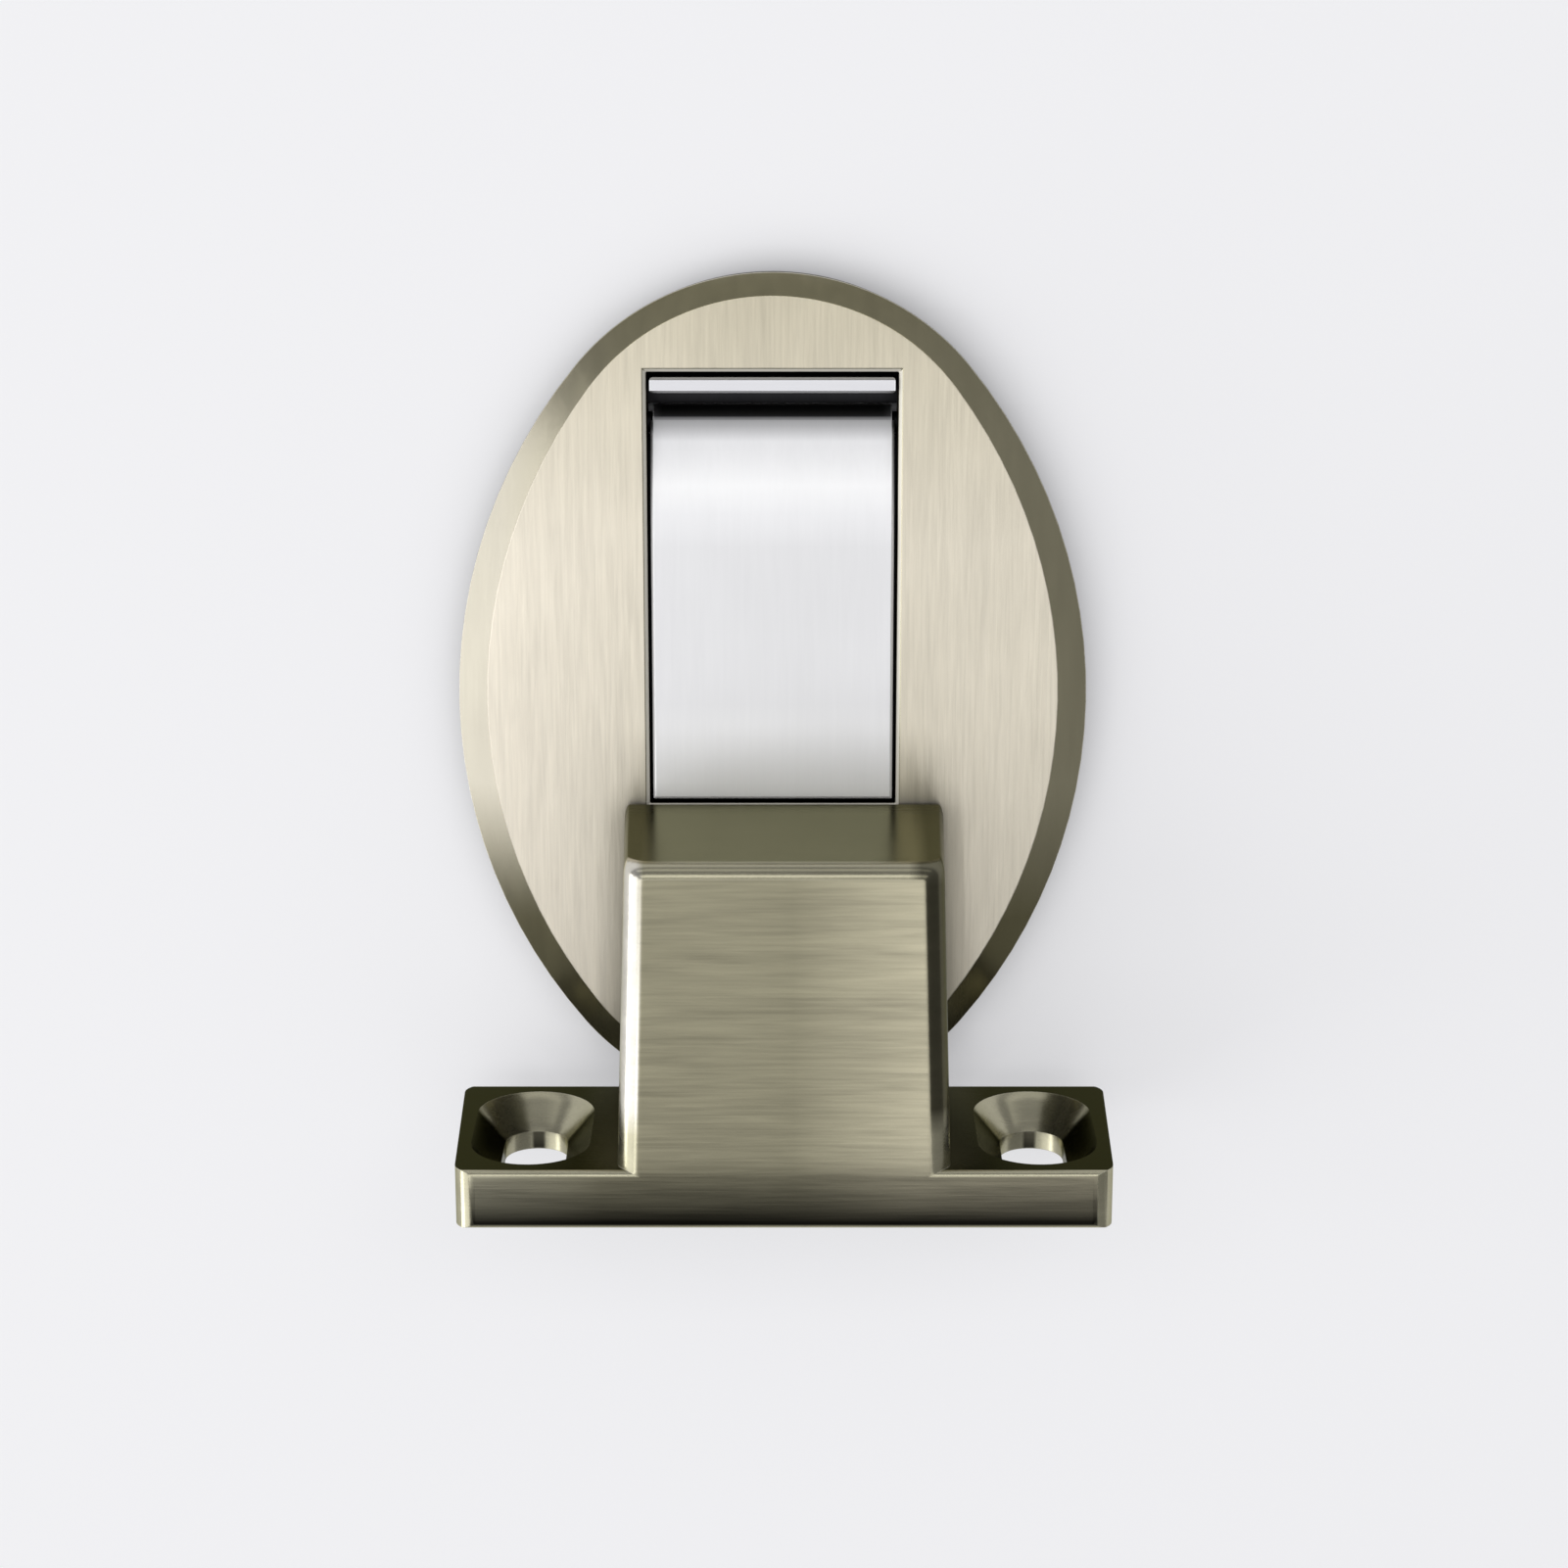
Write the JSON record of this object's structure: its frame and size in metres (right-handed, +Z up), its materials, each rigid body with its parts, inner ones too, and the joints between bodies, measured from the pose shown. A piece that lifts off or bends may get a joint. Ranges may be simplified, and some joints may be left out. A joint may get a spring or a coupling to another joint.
{
  "type": "floor door holder",
  "caption": "Oval floor plate with a hinged lift-up tongue flush in its window, and a magnetic block with a slotted flange that mounts on the door.",
  "frame": {"origin": "on the floor, at the underside of the adhesive pad, under the centre of the oval floor plate", "axes": "+Z up from the floor; +Y away from the door, along the oval's long axis from the block towards the tongue's hinge; +X along the hinge pin"},
  "size_m": [0.0632, 0.0865, 0.0298],
  "materials": {
    "plate_bronze": "brushed green-bronze plating, brushed along the oval",
    "block_bronze": "brushed green-bronze plating, brushed across",
    "polished_steel": "satin polished",
    "steel": "zinc plated",
    "magnet": "nickel plated",
    "cover_plastic": "fine moulded texture",
    "rubber": "matt",
    "foam": "closed-cell foam"
  },
  "bodies": {
    "floor_unit": {"floor_plate": "plate_bronze", "base_plate": "steel", "base_screws": "steel", "adhesive_pad": "foam", "end_bar": "polished_steel", "hinge_pin": "steel", "rest_pads": "rubber"},
    "tongue": {"tongue": "polished_steel"},
    "door_unit": {"door_block": "block_bronze", "block_cover": "cover_plastic", "cover_screws": "steel", "magnet_carrier": "cover_plastic", "magnet": "magnet", "lower_pole": "steel", "upper_pole": "steel"}
  },
  "joints": [
    {"name": "tongue_lift", "type": "hinge", "parent": "floor_unit", "child": "tongue", "pos_m": [0, 0.0271, 0.0026], "axis": [-1, 0, 0], "range_deg": [0, 32]},
    {"name": "door_travel", "type": "slide", "parent": "floor_unit", "child": "door_unit", "axis": [0, -1, 0], "range_m": [0, 0.02]}
  ]
}
